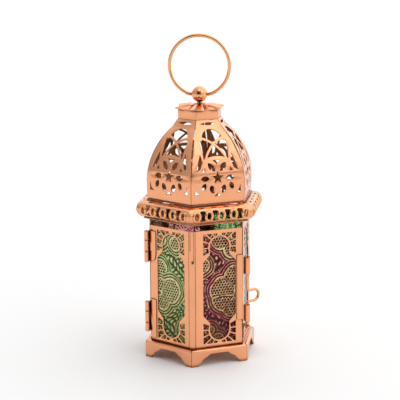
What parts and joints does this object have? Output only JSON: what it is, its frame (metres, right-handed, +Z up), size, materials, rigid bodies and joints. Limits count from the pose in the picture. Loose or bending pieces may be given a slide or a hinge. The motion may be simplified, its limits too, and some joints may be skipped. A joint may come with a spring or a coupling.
{
  "type": "candle lantern",
  "caption": "Hexagonal candle lantern of pierced rose-gold sheet with pressed glass panes, a hinged bolted door, a domed top and a carrying ring.",
  "frame": {"origin": "middle of the hexagonal base, on the ground plane under the six feet", "axes": "+Z up to the carrying ring; the front corner, down the middle of the two-sided door, points to -Y; the bolted edge of the door is towards +X and its hinges towards -X"},
  "size_m": [0.0793, 0.089, 0.2102],
  "materials": {
    "rose_gold_sheet": "rose-gold plated thin sheet, satin to polished",
    "rose_gold_wire": "rose-gold plated wire and turned ball, polished",
    "inner_sheet": "thinly plated inner sheet, dull",
    "red_glass": "pressed wine-red glass with raised scrolls and stippling",
    "green_glass": "pressed green glass with raised scrolls and stippling",
    "clear_glass": "pressed clear glass with raised scrolls and stippling"
  },
  "bodies": {
    "lantern_body": {"base_tray": "rose_gold_sheet", "side_panel_right": "rose_gold_sheet", "side_panel_back_right": "rose_gold_sheet", "side_panel_back_left": "rose_gold_sheet", "side_panel_left": "rose_gold_sheet", "head_plate": "rose_gold_sheet", "gallery_front_right": "rose_gold_sheet", "gallery_right": "rose_gold_sheet", "gallery_back_right": "rose_gold_sheet", "gallery_back_left": "rose_gold_sheet", "gallery_left": "rose_gold_sheet", "gallery_front_left": "rose_gold_sheet", "dome_flange": "rose_gold_sheet", "dome_panel_front_right": "rose_gold_sheet", "dome_panel_right": "rose_gold_sheet", "dome_panel_back_right": "rose_gold_sheet", "dome_panel_back_left": "rose_gold_sheet", "dome_panel_left": "rose_gold_sheet", "dome_panel_front_left": "rose_gold_sheet", "collar": "rose_gold_sheet", "flower_cap": "rose_gold_sheet", "latch_keeper": "rose_gold_sheet", "hinge_body_leaf_upper": "rose_gold_sheet", "hinge_body_leaf_lower": "rose_gold_sheet", "hinge_pin_upper": "rose_gold_wire", "hinge_pin_lower": "rose_gold_wire", "candle_cup": "inner_sheet", "body_pane_clips": "inner_sheet", "cap_plate": "inner_sheet", "pane_right": "clear_glass", "pane_back_right": "green_glass", "pane_back_left": "red_glass", "pane_left": "clear_glass"},
    "door": {"door_sheet": "rose_gold_sheet", "pane_front_right": "red_glass", "pane_front_left": "green_glass", "door_pane_clips": "inner_sheet", "latch_plate": "rose_gold_sheet", "hinge_door_leaf_upper": "rose_gold_sheet", "hinge_door_leaf_lower": "rose_gold_sheet"},
    "latch_bolt": {"latch_bolt": "rose_gold_wire"},
    "finial": {"split_pin": "rose_gold_wire", "ball_finial": "rose_gold_wire"},
    "carry_ring": {"carry_ring": "rose_gold_wire"}
  },
  "joints": [
    {"name": "door_hinge", "type": "hinge", "parent": "lantern_body", "child": "door", "pos_m": [-0.0323, -0.01865, 0.05], "axis": [0, 0, -1], "range_deg": [0, 110]},
    {"name": "bolt_slide", "type": "slide", "parent": "door", "child": "latch_bolt", "axis": [0, 0, 1], "range_m": [0, 0.0085]},
    {"name": "finial_swivel", "type": "hinge", "parent": "lantern_body", "child": "finial", "pos_m": [0, 0, 0.165], "axis": [0, 0, 1], "continuous": true},
    {"name": "ring_pivot", "type": "hinge", "parent": "finial", "child": "carry_ring", "pos_m": [0, 0, 0.1715], "axis": [1, 0, 0], "range_deg": [-105, 105]}
  ]
}
